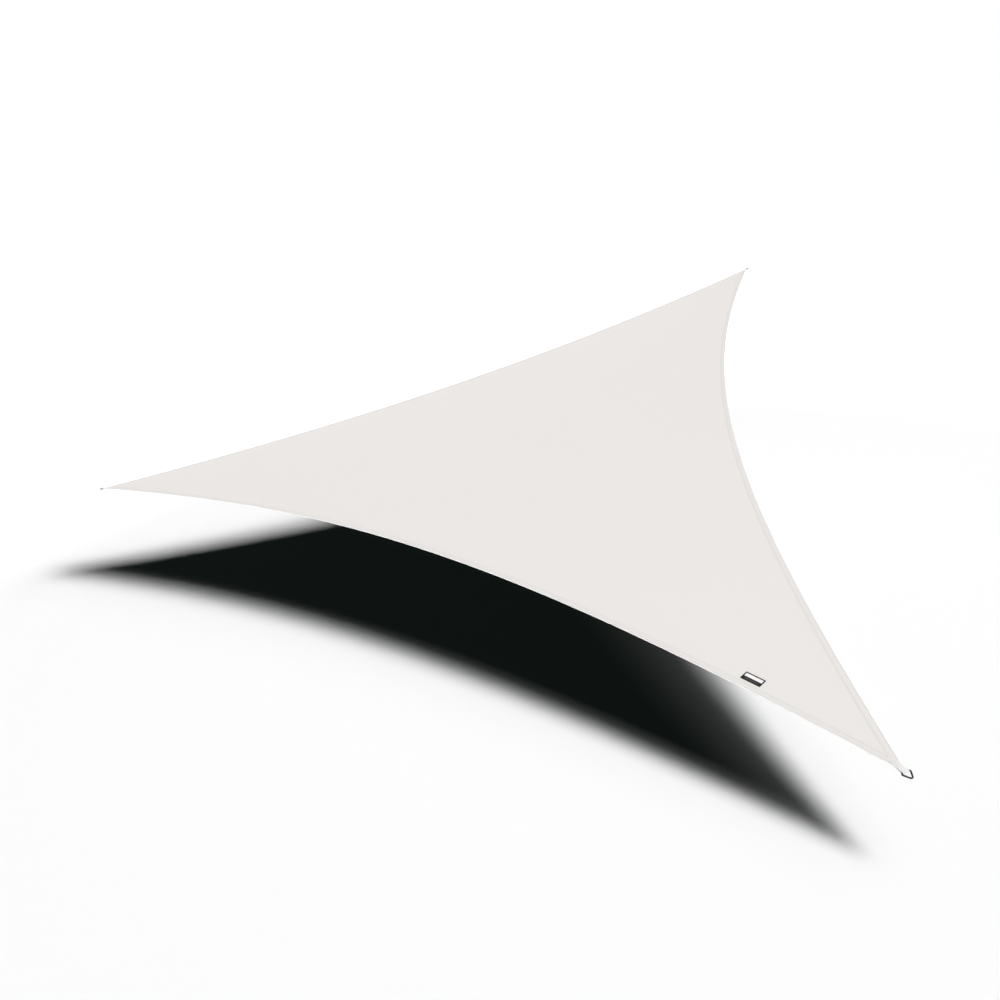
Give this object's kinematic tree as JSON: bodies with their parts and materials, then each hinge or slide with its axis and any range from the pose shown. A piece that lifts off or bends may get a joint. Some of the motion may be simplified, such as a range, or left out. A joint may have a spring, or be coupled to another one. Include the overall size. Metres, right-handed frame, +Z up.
{
  "type": "triangular shade sail",
  "caption": "Triangular shade sail of plain off-white cloth with hemmed, hollow-curved edges, hung taut on a slope by a ring strapped to each corner.",
  "frame": {"origin": "the inner point of the far corner's ring, where a hook pulls", "axes": "+Z up, +X level along the front edge from the left corner to the near corner, +Y towards the far corner, which hangs highest"},
  "size_m": [5.0197, 4.2623, 1.0878],
  "materials": {
    "cloth": "plain close weave, off-white, matt with a faint sheen",
    "strap": "flat webbing, off-white, matt",
    "ring": "near-black coated round bar, satin",
    "label_cloth": "near-black woven label, matt, with a plain pale band"
  },
  "bodies": {
    "root": {"sail_cloth": "cloth", "corner_strap_left": "strap", "corner_strap_near": "strap", "corner_strap_far": "strap", "corner_ring_left": "ring", "corner_ring_near": "ring", "corner_ring_far": "ring", "label": "label_cloth"}
  },
  "joints": []
}
